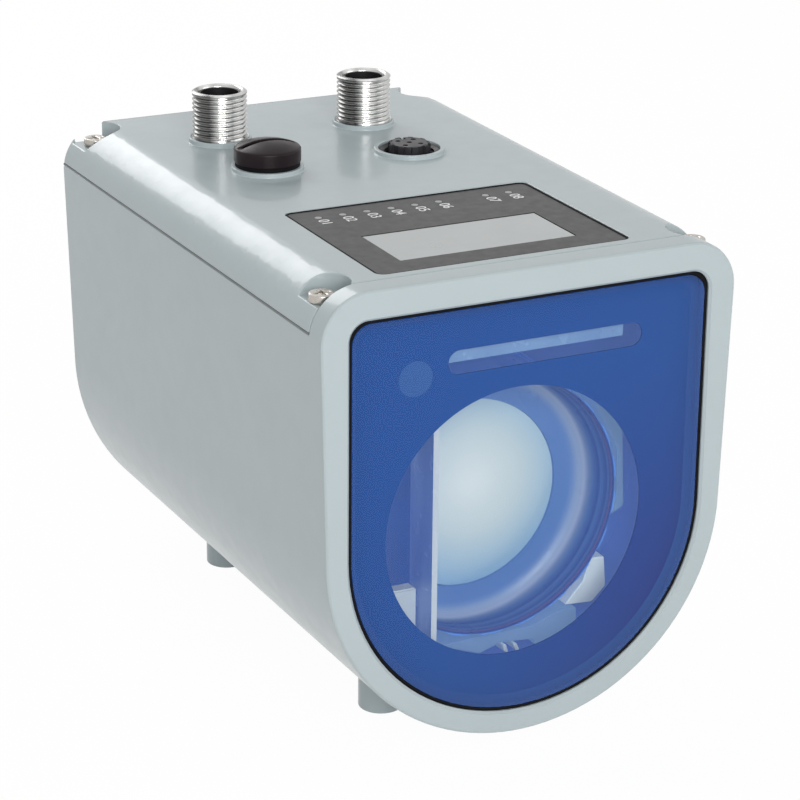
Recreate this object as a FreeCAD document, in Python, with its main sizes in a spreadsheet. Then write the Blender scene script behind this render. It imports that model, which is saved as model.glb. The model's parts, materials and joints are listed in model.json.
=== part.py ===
import FreeCAD, Part
import Sketcher
import math
import os
import re

# Laser distance sensor. +Z up, the window faces -Y, origin on the foot plane under the
# middle of the housing. "front" below is the y of the window side.

doc = FreeCAD.newDocument("laser_sensor")
V = FreeCAD.Vector

SIZES = {
    # housing, a U section with leaning sides and draft, wider at the back
    "half_width": 45, "side_lean": 1.1, "belly_height": 3, "seam_height": 92.1, "cover_height": 8.9,
    "corner_radius": 10, "body_depth": 133, "draft_growth": 1.7, "frame_depth": 5.6,
    "housing_wall": 6, "back_wall": 5, "cut_over": 1,
    # feet with tapped holes
    "foot_radius": 4.7, "foot_x": 18.5, "foot_front": 28, "foot_pitch": 81,
    "foot_bore": 2.1, "foot_bore_depth": 9,
    # window, its seal and the printed mask
    "frame_rim": 5.9, "opening_corner": 4, "opening_bevel": 0.5, "seal_gap": 0.8,
    "seal_set_back": 0.7, "glass_set_back": 0.4, "glass_thick": 4, "mask_thick": 0.3,
    "ledge_width": 4.1, "ledge_thick": 3,
    # openings of the mask
    "axis_x": -1.8, "axis_rise": 1, "aperture_side": 10.9, "aperture_head": 4.45,
    "spot_inset": 15.2, "spot_drop": 14.1, "spot_radius": 3.6,
    "slot_offset": 9.3, "slot_length": 37.6, "slot_drop": 12.1, "slot_radius": 2.45,
    # optics behind them
    "barrel_start": 13, "barrel_play": 0.2, "barrel_wall": 2, "lens_start": 22, "lens_step": 6,
    "lens_lip": 0.5, "lens_thick": 6, "lens_sphere": 55, "retainer_thick": 2, "notch_width": 3,
    "chassis_start": 30, "chassis_thick": 3, "chassis_drop": 2.1,
    "plate_room": 12.1, "plate_trim": 1.5, "plate_thick": 1.2, "plate_start": 6.3,
    "holder_width": 6, "holder_height": 14.6, "holder_set_back": 2, "arm_width": 4, "arm_height": 6,
    "arm_play": 1.1,
    "laser_start": 8, "laser_radius": 4.4, "laser_length": 40, "laser_recess": 3,
    "laser_lens_radius": 3.2, "laser_lens_thick": 2,
    "guide_start": 6.2, "guide_shift": 2.3, "guide_rise": 0.3, "guide_height": 2.2,
    # boards and pillars
    "board_thick": 1.6, "pillar_radius": 2.5, "pillar_inset": 3.5,
    "receiver_start": 60, "receiver_side": 11, "receiver_drop": 25, "receiver_head": 3.6,
    "detector_radius": 5, "detector_length": 8,
    "main_drop": 14.1, "main_depth": 58, "main_gap": 4, "main_play": 2,
    # cover and its screws
    "cover_gap": 0.25, "gasket_thick": 0.35, "cover_skin": 3.5, "cover_wall": 9,
    "cover_front_wall": 4,
    "screw_inset": 4.5, "screw_front": 9.4, "screw_rear": 4.5, "screw_drop": 4,
    "pocket_radius": 5.5, "screw_radius": 1.5, "screw_hole": 1.7, "screw_head": 2.6,
    "screw_head_thick": 1.8, "screw_length": 14, "cross_width": 0.7, "cross_half": 1.5,
    "cross_depth": 0.9, "boss_radius": 4, "boss_length": 18,
    # display
    "panel_left": -29.2, "panel_right": 25.4, "panel_front": 8.3, "panel_back": 51.7,
    "panel_corner": 1.6, "panel_recess": 1.6, "panel_thick": 1.3, "panel_play": 0.3,
    "screen_left_rim": 7.9, "screen_right_rim": 8.4, "screen_front_rim": 6.9, "screen_back_rim": 19.7,
    "screen_play": 0.2, "screen_set_back": 0.1, "display_drop": 8,
    "lamp_inset": 5.3, "lamp_pitch": 5.4, "lamp_rim": 4.8, "lamp_radius": 0.75, "lamp_play": 0.1,
    # plugs
    "plug_left": -19.5, "plug_right": 15.2, "plug_rear": 25.7, "plug_radius": 6, "plug_bore": 4.6,
    "plug_lining": 0.5, "plug_base": 6.3, "plug_reach": 11, "plug_height": 11.4, "plug_collar": 6.9,
    "plug_collar_height": 1.1, "plug_floor": 2.4, "plug_lining_drop": 0.6,
    "pin_radius": 0.5, "pin_spread": 1.84, "pin_height": 6,
    # sockets
    "socket_left": -19.2, "socket_right": 14.2, "socket_pitch": 24.9, "socket_ring": 7.7,
    "socket_ring_height": 1, "socket_hole": 6.7, "socket_bore": 5.46, "socket_set_back": 0.5,
    "socket_reach": 13, "socket_floor": 2, "core_radius": 4.1, "core_rise": 2,
    "contact_radius": 0.6, "contact_depth": 5, "key_width": 1.2, "key_depth": 1.6, "key_length": 6,
    "nut_radius": 9.5, "nut_thick": 3,
    # sealing cap, an M12 x 1 screw cap
    "cap_radius": 7.1, "cap_height": 4.6, "cap_sphere": 17, "cap_slot": 1.3, "cap_slot_depth": 1.4,
    "shank_radius": 5.4, "shank_bore": 4.5, "shank_length": 6.5, "cap_hollow": 1.5,
    "washer_inner": 5.8, "washer_outer": 6.9, "washer_thick": 0.8,
}

# What follows from the sizes. Heights are from the foot plane, depths from the front face.
DERIVED = {
    "top_height": "seam_height + cover_height",
    "lower_radius": "half_width - side_lean",
    "arc_height": "lower_radius + belly_height",
    "cavity_radius": "half_width - housing_wall",
    "opening_half": "half_width - frame_rim",
    "opening_top": "top_height - frame_rim",
    "seat_depth": "glass_set_back + glass_thick + mask_thick",
    "ledge_half": "opening_half - ledge_width",
    "axis_z": "arc_height + axis_rise",
    "spot_x": "spot_inset - opening_half",
    "spot_z": "opening_top - spot_drop",
    "slot_left": "spot_x + slot_offset",
    "slot_right": "slot_left + slot_length",
    "slot_z": "opening_top - slot_drop",
    "aperture_radius": "min(opening_half - aperture_side; slot_z - slot_radius - axis_z - aperture_head)",
    "barrel_radius": "aperture_radius - barrel_play",
    "barrel_bore": "barrel_radius - barrel_wall",
    "barrel_flat": "barrel_radius - plate_room",
    "lens_radius": "barrel_bore - lens_step",
    "notch_circle": "(barrel_bore + lens_radius) / 2",
    "plate_half": "barrel_radius - plate_trim",
    "plate_bottom": "axis_z - plate_half",
    "plate_x": "axis_x - barrel_flat - plate_thick",
    "arm_side": "barrel_flat + plate_thick + holder_width - arm_width",
    "arm_top": "axis_z - sqrt(barrel_radius ^ 2 - arm_side ^ 2) - arm_play",
    "chassis_top": "seam_height - chassis_drop",
    "receiver_half": "cavity_radius - receiver_side",
    "receiver_bottom": "axis_z - receiver_drop",
    "receiver_height": "spot_z - laser_radius - receiver_head - receiver_bottom",
    "main_half": "half_width - cover_wall - main_play",
    "main_front": "body_depth - back_wall - main_gap - main_depth",
    "main_board_z": "seam_height - main_drop",
    "cover_start": "frame_depth + cover_gap",
    "cover_bottom": "seam_height + gasket_thick",
    "skin_bottom": "top_height - cover_skin",
    "screw_x": "half_width - screw_inset",
    "screw_seat": "top_height - screw_drop",
    "recess_floor": "top_height - panel_recess",
    "panel_top": "recess_floor + panel_thick",
    "screen_left": "panel_left + screen_left_rim",
    "screen_right": "panel_right - screen_right_rim",
    "screen_front": "panel_front + screen_front_rim",
    "screen_back": "panel_back - screen_back_rim",
    "display_top": "top_height - display_drop + board_thick",
    "lamp_x": "panel_left + lamp_inset",
    "lamp_y": "panel_back - lamp_rim",
    "plug_y": "body_depth - plug_rear",
    "plug_bottom": "top_height - plug_reach",
    "socket_y": "plug_y - socket_pitch",
    "socket_bottom": "top_height - socket_reach",
    "core_top": "top_height + core_rise",
    "cap_seat": "top_height + socket_ring_height + washer_thick",
    "through": "body_depth",
}

sheet = doc.addObject("Spreadsheet::Sheet", "Sizes")
for row, (alias, value) in enumerate(SIZES.items(), 1):
    sheet.set("A%d" % row, alias)
    sheet.set("B%d" % row, str(value))
    sheet.setAlias("B%d" % row, alias)
doc.recompute()

FRONT = "-body_depth / 2"


def formula(text):
    """A FreeCAD expression from a text in the names of SIZES and DERIVED."""
    def refer(match):
        word = match.group(0)
        if word in DERIVED:
            return "(%s)" % formula(DERIVED[word])
        return "Sizes." + word if word in SIZES else word
    return re.sub(r"[a-z_]+", refer, text)


def bind(obj, **sizes):
    for name, text in sizes.items():
        obj.setExpression(name, formula(text))
    return obj


def place(obj, x, y, z):
    for axis, text in zip("xyz", (x, y, z)):
        obj.setExpression("Placement.Base." + axis, formula(text))
    return obj


def depth(text):
    """A y measured from the front face."""
    return "%s + %s" % (FRONT, text)


def box(name, x, y, z, dx, dy, dz):
    obj = doc.addObject("Part::Box", name)
    bind(obj, Length=dx, Width=dy, Height=dz)
    return place(obj, x, y, z)


def post(name, x, y, z, radius, height):
    obj = doc.addObject("Part::Cylinder", name)
    bind(obj, Radius=radius, Height=height)
    return place(obj, x, y, z)


def rod(name, x, y, z, radius, length):
    """A cylinder that runs to the back, along +Y."""
    obj = post(name, x, y, z, radius, length)
    obj.Placement.Rotation = FreeCAD.Rotation(V(1, 0, 0), -90)
    return obj


def ball(name, x, y, z, radius):
    obj = doc.addObject("Part::Sphere", name)
    bind(obj, Radius=radius)
    return place(obj, x, y, z)


def cut(name, base, *tools):
    obj = doc.addObject("Part::Cut", name)
    obj.Base = base
    obj.Tool = tools[0] if len(tools) == 1 else fuse(name + "_tools", *tools)
    return obj


def fuse(name, *pieces):
    obj = doc.addObject("Part::MultiFuse", name)
    obj.Shapes = list(pieces)
    return obj


def common(name, *pieces):
    obj = doc.addObject("Part::MultiCommon", name)
    obj.Shapes = list(pieces)
    return obj


def group(name, *pieces):
    obj = doc.addObject("Part::Compound", name)
    obj.Links = list(pieces)
    return obj


def sketch_u(sketch, half, top, corner, radius):
    """A U outline seen from the front: round below, straight sides, rounded top corners."""
    up = V(0, 0, 1)
    side = SIZES["half_width"]
    bend = SIZES["corner_radius"]
    lower = Part.ArcOfCircle(Part.Circle(V(0, side, 0), up, side), math.pi, 2 * math.pi)
    right = Part.LineSegment(V(side, side, 0), V(side, 2 * side, 0))
    right_arc = Part.ArcOfCircle(Part.Circle(V(side - bend, 2 * side, 0), up, bend), 0, math.pi / 2)
    upper = Part.LineSegment(V(side - bend, 2 * side + bend, 0), V(bend - side, 2 * side + bend, 0))
    left_arc = Part.ArcOfCircle(Part.Circle(V(bend - side, 2 * side, 0), up, bend), math.pi / 2, math.pi)
    left = Part.LineSegment(V(-side, 2 * side, 0), V(-side, side, 0))
    sketch.addGeometry([lower, right, right_arc, upper, left_arc, left], False)
    rule = Sketcher.Constraint
    sketch.addConstraint([
        rule("Coincident", 0, 2, 1, 1), rule("Tangent", 1, 2, 2, 1), rule("Tangent", 2, 2, 3, 1),
        rule("Tangent", 3, 2, 4, 1), rule("Tangent", 4, 2, 5, 1), rule("Coincident", 5, 2, 0, 1),
        rule("PointOnObject", 0, 3, -2), rule("Horizontal", 0, 3, 0, 2),
        rule("Horizontal", 0, 3, 0, 1), rule("Equal", 2, 4), rule("Symmetric", 3, 1, 3, 2, -2)])
    driven = (("radius", rule("Radius", 0, side), radius),
              ("corner", rule("Radius", 2, bend), corner),
              ("centre", rule("DistanceY", -1, 1, 0, 3, side), "arc_height"),
              ("top", rule("DistanceY", -1, 1, 3, 1, 2 * side + bend), top),
              ("half", rule("DistanceX", -1, 1, 2, 1, side), half))
    for label, constraint, text in driven:
        index = sketch.addConstraint(constraint)
        sketch.renameConstraint(index, label)
        sketch.setExpression("Constraints." + label, formula(text))


def u_outline(name, y, half, top, corner, radius):
    """A U outline on an upright plane at a depth."""
    sketch = doc.addObject("Sketcher::SketchObject", name)
    sketch.Placement = FreeCAD.Placement(V(0, 0, 0), FreeCAD.Rotation(V(1, 0, 0), 90))
    sketch_u(sketch, half, top, corner, radius)
    sketch.setExpression("Placement.Base.y", formula(y))
    return sketch


def u_block(name, y, length, half, top, corner, radius):
    """A U outline, extruded to the back."""
    obj = doc.addObject("Part::Extrusion", name)
    obj.Base = u_outline(name + "_sketch", y, half, top, corner, radius)
    obj.DirMode = "Custom"
    obj.Dir = V(0, 1, 0)
    obj.Solid = True
    return bind(obj, LengthFwd=length)


def casting_outline(body, name, y, growth):
    """One end of the casting, drawn on its own plane; the rear end is larger by the draft."""
    plane = [f for f in body.Origin.OriginFeatures if f.Role == "XZ_Plane"][0]
    sketch = body.newObject("Sketcher::SketchObject", name)
    sketch.AttachmentSupport = (plane, [""])
    sketch.MapMode = "FlatFace"
    sketch.setExpression("AttachmentOffset.Base.z", formula("-(%s)" % y))
    sketch_u(sketch, "half_width + " + growth, "top_height", "corner_radius", "lower_radius + " + growth)
    return sketch


def casting_block():
    """The outside of housing and cover in one: a U with draft, wider at the back."""
    body = doc.addObject("PartDesign::Body", "casting_block")
    front = casting_outline(body, "casting_front", FRONT, "0")
    rear = casting_outline(body, "casting_rear", "body_depth / 2", "draft_growth")
    loft = body.newObject("PartDesign::AdditiveLoft", "casting_loft")
    loft.Profile = front
    loft.Sections = [rear]
    loft.Ruled = True
    return body


def four(make, name, xs, ys):
    """The same piece at the four corners of a rectangle."""
    return [make("%s_%d%d" % (name, i, j), x, y) for i, x in enumerate(xs) for j, y in enumerate(ys)]


SCREW_XS = ("-screw_x", "screw_x")
SCREW_YS = (depth("screw_front"), depth("body_depth - screw_rear"))
FOOT_XS = ("-foot_x", "foot_x")
FOOT_YS = (depth("foot_front"), depth("foot_front + foot_pitch"))
PLUGS = [(x, depth("plug_y")) for x in ("plug_left", "plug_right")]
SOCKETS = [(x, depth("socket_y")) for x in ("socket_left", "socket_right")]
CASTING = casting_block()


def slab(name, start, z, height):
    """A level slice, wider than the casting, from a depth to beyond the back."""
    return box(name, "-2 * half_width", depth(start), z, "4 * half_width", "body_depth", height)


def opening(name, start, length, inset):
    """The outline of the window opening, smaller all round by an inset."""
    return u_block(name, depth(start), length, "opening_half - " + inset, "opening_top - " + inset,
                   "opening_corner", "opening_half - " + inset)


def opening_bevel():
    """A loft that breaks the front edge of the window opening."""
    loft = doc.addObject("Part::Loft", "opening_bevel")
    loft.Sections = [
        u_outline("bevel_wide", FRONT, "opening_half + opening_bevel", "opening_top + opening_bevel",
                  "opening_corner + opening_bevel", "opening_half + opening_bevel"),
        u_outline("bevel_narrow", depth("opening_bevel"), "opening_half", "opening_top",
                  "opening_corner", "opening_half")]
    loft.Solid = True
    loft.Ruled = True
    return loft


def housing_shell():
    """The casting with its feet, opened at the front for the window and on top for the cover."""
    feet = four(lambda n, x, y: post(n, x, y, "0", "foot_radius", "arc_height"), "foot", FOOT_XS, FOOT_YS)
    seat = opening("window_seat", "0", "seat_depth", "0")
    ledge = u_block("ledge_opening", FRONT, "seat_depth + ledge_thick + cut_over", "ledge_half",
                    "opening_top - ledge_width", "opening_corner", "ledge_half")
    cavity = u_block("cavity", depth("seat_depth + ledge_thick"),
                     "body_depth - seat_depth - ledge_thick - back_wall",
                     "cavity_radius", "top_height + corner_radius", "opening_corner", "cavity_radius")
    deck = slab("deck_cut", "frame_depth", "seam_height", "through")
    return cut("housing_shell", fuse("housing_block", CASTING, *feet), seat, opening_bevel(), ledge, cavity,
               deck)


def main_housing():
    bosses = four(lambda n, x, y: post(n, x, y, "seam_height - boss_length", "boss_radius", "boss_length"),
                  "boss", SCREW_XS, SCREW_YS)
    body = fuse("housing_body", housing_shell(), *bosses)
    bores = four(lambda n, x, y: post(n, x, y, "-cut_over", "foot_bore", "foot_bore_depth + cut_over"),
                 "foot_hole", FOOT_XS, FOOT_YS)
    taps = four(lambda n, x, y: post(n, x, y, "screw_seat - screw_length - cut_over", "screw_radius",
                                     "through"), "screw_tap", SCREW_XS, SCREW_YS)
    return cut("main_housing", body, *bores, *taps)


def front_window():
    return opening("front_window", "glass_set_back", "glass_thick", "seal_gap")


def window_seal():
    outer = opening("seal_outer", "seal_set_back", "seat_depth - seal_set_back", "0")
    inner = opening("seal_inner", "seal_set_back - cut_over", "seat_depth + cut_over", "seal_gap")
    return cut("window_seal", outer, inner)


def window_mask():
    """The print behind the glass, with its round aperture, round spot and long slot."""
    sheet_piece = opening("mask_sheet", "glass_set_back + glass_thick", "mask_thick", "seal_gap")
    start = depth("glass_set_back")
    aperture = rod("mask_aperture", "axis_x", start, "axis_z", "aperture_radius", "through")
    spot = rod("mask_spot", "spot_x", start, "spot_z", "spot_radius", "through")
    ends = [rod("mask_" + x, x, start, "slot_z", "slot_radius", "through")
            for x in ("slot_left", "slot_right")]
    middle = box("mask_slot_middle", "slot_left", start, "slot_z - slot_radius", "slot_length",
                 "through", "2 * slot_radius")
    return cut("window_mask", sheet_piece, aperture, spot, middle, *ends)


def barrel_side(name):
    """The side of the tube that is cut away for the glass plate."""
    return box(name, "axis_x - barrel_radius - cut_over", depth("barrel_start - cut_over"),
               "axis_z - barrel_radius - cut_over", "barrel_radius + cut_over - barrel_flat",
               "lens_start - lens_lip - barrel_start + cut_over", "2 * barrel_radius + 2 * cut_over")


def lens_barrel():
    tube = rod("barrel_tube", "axis_x", depth("barrel_start"), "axis_z", "barrel_radius",
               "chassis_start + chassis_thick - barrel_start")
    front_bore = rod("barrel_front_bore", "axis_x", depth("barrel_start - cut_over"), "axis_z",
                     "barrel_bore", "lens_start - barrel_start + cut_over")
    bore = rod("barrel_lens_bore", "axis_x", depth("barrel_start"), "axis_z", "lens_radius", "through")
    return cut("lens_barrel", tube, front_bore, bore, barrel_side("barrel_side"))


def lens_retainer():
    """The notched ring that holds the lens; its notches take a pin wrench."""
    start = depth("lens_start - retainer_thick - cut_over")
    ring = rod("retainer_ring", "axis_x", depth("lens_start - retainer_thick"), "axis_z", "barrel_bore",
               "retainer_thick")
    bore = rod("retainer_bore", "axis_x", start, "axis_z", "lens_radius - lens_lip", "through")
    notches = [box("retainer_notch_%d%d" % (right, up),
                   "axis_x + %d * notch_circle - notch_width / 2" % right, start,
                   "axis_z + %d * notch_circle - notch_width / 2" % up,
                   "notch_width", "through", "notch_width") for right, up in ((1, 0), (0, 1))]
    return cut("lens_retainer", ring, bore, barrel_side("retainer_side"), *notches)


def receiver_lens():
    disc = rod("lens_disc", "axis_x", depth("lens_start"), "axis_z", "lens_radius", "2 * lens_thick")
    back = ball("lens_ball", "axis_x", depth("lens_start + lens_thick - lens_sphere"), "axis_z",
                "lens_sphere")
    return common("receiver_lens", disc, back)


def optics_chassis():
    wall = u_block("chassis_wall", depth("chassis_start"), "chassis_thick", "cavity_radius",
                   "chassis_top", "opening_corner", "cavity_radius")
    start = depth("chassis_start - cut_over")
    barrel_hole = rod("chassis_barrel_hole", "axis_x", start, "axis_z", "barrel_radius", "through")
    laser_hole = rod("chassis_laser_hole", "spot_x", start, "spot_z", "laser_radius", "through")
    return cut("optics_chassis", wall, barrel_hole, laser_hole)


def glass_plate():
    return box("glass_plate", "plate_x", depth("plate_start"), "plate_bottom", "plate_thick",
               "lens_start - lens_lip - plate_start", "2 * plate_half")


def plate_holder():
    """A jaw against the glass plate, on an arm that passes under the tube to the chassis."""
    x = "plate_x - holder_width"
    y = depth("plate_start + holder_set_back")
    jaw = box("holder_jaw", x, y, "plate_bottom", "holder_width",
              "lens_start - lens_lip - plate_start - holder_set_back", "holder_height")
    arm = box("holder_arm", x, y, "arm_top - arm_height", "arm_width",
              "chassis_start - plate_start - holder_set_back", "arm_height")
    return fuse("plate_holder", jaw, arm)


def laser_module():
    tube = rod("laser_tube", "spot_x", depth("laser_start"), "spot_z", "laser_radius", "laser_length")
    bore = rod("laser_bore", "spot_x", depth("laser_start - cut_over"), "spot_z", "laser_lens_radius",
               "laser_recess + cut_over")
    return cut("laser_module", tube, bore)


def laser_lens():
    return rod("laser_lens", "spot_x", depth("laser_start + laser_recess - laser_lens_thick"), "spot_z",
               "laser_lens_radius", "laser_lens_thick")


def slot_light_guide():
    return box("slot_light_guide", "slot_left - guide_shift", depth("guide_start"), "slot_z + guide_rise",
               "slot_length", "chassis_start - guide_start", "guide_height")


def receiver_board():
    return box("receiver_board", "-receiver_half", depth("receiver_start"), "receiver_bottom",
               "2 * receiver_half", "board_thick", "receiver_height")


def receiver_pillars():
    xs = ("pillar_inset - receiver_half", "receiver_half - pillar_inset")
    zs = ("receiver_bottom + pillar_inset", "receiver_bottom + receiver_height - pillar_inset")
    y = depth("chassis_start + chassis_thick")
    reach = "receiver_start - chassis_start - chassis_thick"
    return group("receiver_pillars", *four(lambda n, x, z: rod(n, x, y, z, "pillar_radius", reach),
                                           "receiver_pillar", xs, zs))


def receiver_detector():
    return rod("receiver_detector", "axis_x", depth("receiver_start - detector_length"), "axis_z",
               "detector_radius", "detector_length")


def cover_inside(name, height):
    """The space inside the cover's walls."""
    return box(name, "cover_wall - half_width", depth("frame_depth + cover_front_wall"),
               "seam_height - cut_over", "2 * (half_width - cover_wall)",
               "body_depth - frame_depth - cover_front_wall - back_wall", height)


def screw_drills(name):
    return four(lambda n, x, y: post(n, x, y, "seam_height - cut_over", "screw_hole", "through"),
                name, SCREW_XS, SCREW_YS)


def cover_gasket():
    ring = common("gasket_ring", CASTING, slab("gasket_slab", "cover_start", "seam_height", "gasket_thick"))
    return cut("cover_gasket", ring, cover_inside("gasket_inner", "through"), *screw_drills("gasket_hole"))


def cover_shell():
    """The plain cover: the upper slice of the casting, hollow below."""
    upper = common("cover_slice", CASTING, slab("cover_slab", "cover_start", "cover_bottom", "through"))
    return cut("cover_shell", upper, cover_inside("cover_hollow", "skin_bottom - seam_height + cut_over"))


def connector_posts(name, z, plug_size, socket_size, plug_height, socket_height):
    """Upright cylinders at the two plugs and the two sockets."""
    plugs = [post("%s_plug_%d" % (name, i), x, y, z, plug_size, plug_height)
             for i, (x, y) in enumerate(PLUGS)]
    sockets = [post("%s_socket_%d" % (name, i), x, y, z, socket_size, socket_height)
               for i, (x, y) in enumerate(SOCKETS)]
    return plugs + sockets


def top_cover():
    rings = connector_posts("ring", "skin_bottom", "plug_collar", "socket_ring",
                            "cover_skin + plug_collar_height", "cover_skin + socket_ring_height")
    body = fuse("cover_body", cover_shell(), *rings)
    holes = connector_posts("hole", "seam_height", "plug_base", "socket_hole", "through", "through")
    pockets = four(lambda n, x, y: post(n, x, y, "screw_seat", "pocket_radius", "through"),
                   "pocket", SCREW_XS, SCREW_YS)
    recess = panel_plate("panel_pocket", "recess_floor", "through", "panel_play")
    screen = screen_block("screen_hole", "seam_height", "through", "screen_play")
    lamps = lamp_posts("lamp_drill", "seam_height", "lamp_radius + lamp_play", "through")
    return cut("top_cover", body, recess, screen, *holes, *pockets, *screw_drills("cover_drill"), *lamps)


def cover_screw(name, x, y):
    """A pan-head screw with a cross recess."""
    head = post(name + "_head", x, y, "screw_seat", "screw_head", "screw_head_thick")
    shank = post(name + "_shank", x, y, "screw_seat - screw_length", "screw_radius",
                 "screw_length + cut_over")
    z = "screw_seat + screw_head_thick - cross_depth"
    arms = (("cross_half", "cross_width / 2"), ("cross_width / 2", "cross_half"))
    cross = [box("%s_cross_%d" % (name, i), "%s - %s" % (x, a), "%s - %s" % (y, b), z,
                 "2 * %s" % a, "2 * %s" % b, "through") for i, (a, b) in enumerate(arms)]
    return cut(name, fuse(name + "_blank", head, shank), *cross)


def cover_screws():
    return group("cover_screws", *four(cover_screw, "cover_screw", SCREW_XS, SCREW_YS))


def panel_plate(name, z, height, play):
    """The rectangle of the display panel, with rounded corners, wider all round by a play."""
    length = "panel_right - panel_left + 2 * %s" % play
    width = "panel_back - panel_front + 2 * %s" % play
    x = "panel_left - %s" % play
    y = depth("panel_front - %s" % play)
    radius = "panel_corner + %s" % play
    long_bar = box(name + "_long", x, "%s + %s" % (y, radius), z, length,
                   "%s - 2 * (%s)" % (width, radius), height)
    short_bar = box(name + "_short", "%s + %s" % (x, radius), y, z,
                    "%s - 2 * (%s)" % (length, radius), width, height)
    xs = ("panel_left + panel_corner", "panel_right - panel_corner")
    ys = (depth("panel_front + panel_corner"), depth("panel_back - panel_corner"))
    corners = four(lambda n, cx, cy: post(n, cx, cy, z, radius, height), name + "_corner", xs, ys)
    return fuse(name, long_bar, short_bar, *corners)


def screen_block(name, z, height, play):
    return box(name, "screen_left - %s" % play, depth("screen_front - %s" % play), z,
               "screen_right - screen_left + 2 * %s" % play,
               "screen_back - screen_front + 2 * %s" % play, height)


def lamp_posts(name, z, radius, height):
    """Eight indicator places; the seventh step of the row stays empty."""
    steps = (0, 1, 2, 3, 4, 5, 7, 8)
    return [post("%s_%d" % (name, i), "lamp_x + %d * lamp_pitch" % i, depth("lamp_y"), z, radius,
                 height) for i in steps]


def display_panel():
    plate = panel_plate("panel_blank", "recess_floor", "panel_thick", "0")
    screen = screen_block("panel_screen_hole", "seam_height", "through", "screen_play")
    lamps = lamp_posts("panel_lamp_hole", "seam_height", "lamp_radius + lamp_play", "through")
    return cut("display_panel", plate, screen, *lamps)


def display_screen():
    return screen_block("display_screen", "display_top", "panel_top - screen_set_back - display_top", "0")


def indicator_lamps():
    lamps = lamp_posts("indicator_lamp", "display_top", "lamp_radius", "panel_top - display_top")
    return group("indicator_lamps", *lamps)


def display_board():
    start = "frame_depth + cover_front_wall + cut_over"
    return box("display_board", "panel_left", depth(start), "display_top - board_thick",
               "panel_right - panel_left", "panel_back - (%s)" % start, "board_thick")


def display_pillars():
    xs = ("panel_left + pillar_inset", "panel_right - pillar_inset")
    ys = (depth("screen_front"), depth("lamp_y - 2 * pillar_inset"))
    z = "display_top"
    reach = "skin_bottom - display_top"
    return group("display_pillars", *four(lambda n, x, y: post(n, x, y, z, "pillar_radius", reach),
                                          "display_pillar", xs, ys))


def main_board():
    return box("main_board", "-main_half", depth("main_front"), "main_board_z", "2 * main_half",
               "main_depth", "board_thick")


def main_pillars():
    xs = ("pillar_inset - main_half", "main_half - pillar_inset")
    ys = (depth("main_front + pillar_inset"), depth("main_front + main_depth - pillar_inset"))
    z = "main_board_z + board_thick"
    reach = "skin_bottom - main_board_z - board_thick"
    return group("main_pillars", *four(lambda n, x, y: post(n, x, y, z, "pillar_radius", reach),
                                       "main_pillar", xs, ys))


def plug_shell(side):
    x, y = "plug_" + side, depth("plug_y")
    thread = post(side + "_plug_thread", x, y, "plug_bottom", "plug_radius", "plug_reach + plug_height")
    base = post(side + "_plug_base", x, y, "plug_bottom", "plug_base", "plug_reach + plug_collar_height")
    bore = post(side + "_plug_bore", x, y, "plug_bottom - cut_over", "plug_bore", "through")
    return cut(side + "_plug_shell", fuse(side + "_plug_blank", thread, base), bore)


def plug_insert(side):
    """The black contact carrier, a cup that lines the tube."""
    x, y = "plug_" + side, depth("plug_y")
    carrier = post(side + "_plug_carrier", x, y, "plug_bottom", "plug_bore",
                   "plug_reach + plug_height - plug_lining_drop")
    cup = post(side + "_plug_cup", x, y, "top_height + plug_floor", "plug_bore - plug_lining", "through")
    return cut(side + "_plug_insert", carrier, cup)


def contact_posts(name, x, y, z, radius, height):
    """Five contacts: four on a square and one in the middle."""
    places = ((1, 1), (1, -1), (-1, 1), (-1, -1), (0, 0))
    return [post("%s_%d" % (name, i), "%s + %d * pin_spread" % (x, a), "%s + %d * pin_spread" % (y, b),
                 z, radius, height) for i, (a, b) in enumerate(places)]


def plug_pins(side):
    name = side + "_plug_pins"
    return group(name, *contact_posts(name, "plug_" + side, depth("plug_y"), "top_height + plug_floor",
                                      "pin_radius", "pin_height"))


def socket_shell(side):
    x, y = "socket_" + side, depth("socket_y")
    tube = post(side + "_socket_tube", x, y, "socket_bottom", "socket_hole",
                "socket_reach + socket_ring_height - socket_set_back")
    bore = post(side + "_socket_bore", x, y, "socket_bottom + socket_floor", "socket_bore", "through")
    middle = post(side + "_socket_middle", x, y, "socket_bottom - cut_over", "core_radius", "through")
    return cut(side + "_socket_shell", tube, bore, middle)


def socket_insert(side):
    """The contact carrier of a socket, with its keyway."""
    x, y = "socket_" + side, depth("socket_y")
    core = post(side + "_core", x, y, "socket_bottom", "core_radius", "core_top - socket_bottom")
    key = box(side + "_core_key", "%s - key_width / 2" % x, "%s + core_radius - key_depth" % y,
              "core_top - key_length", "key_width", "through", "through")
    holes = contact_posts(side + "_core_hole", x, y, "core_top - contact_depth", "contact_radius",
                          "through")
    return cut(side + "_socket_insert", core, key, *holes)


def connector_nuts():
    discs = connector_posts("nut_disc", "skin_bottom - nut_thick", "nut_radius", "nut_radius",
                            "nut_thick", "nut_thick")
    holes = connector_posts("nut_hole", "skin_bottom - nut_thick - cut_over", "plug_base", "socket_hole",
                            "through", "through")
    nuts = [cut("connector_nut_%d" % i, disc, hole) for i, (disc, hole) in enumerate(zip(discs, holes))]
    return group("connector_nuts", *nuts)


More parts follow.
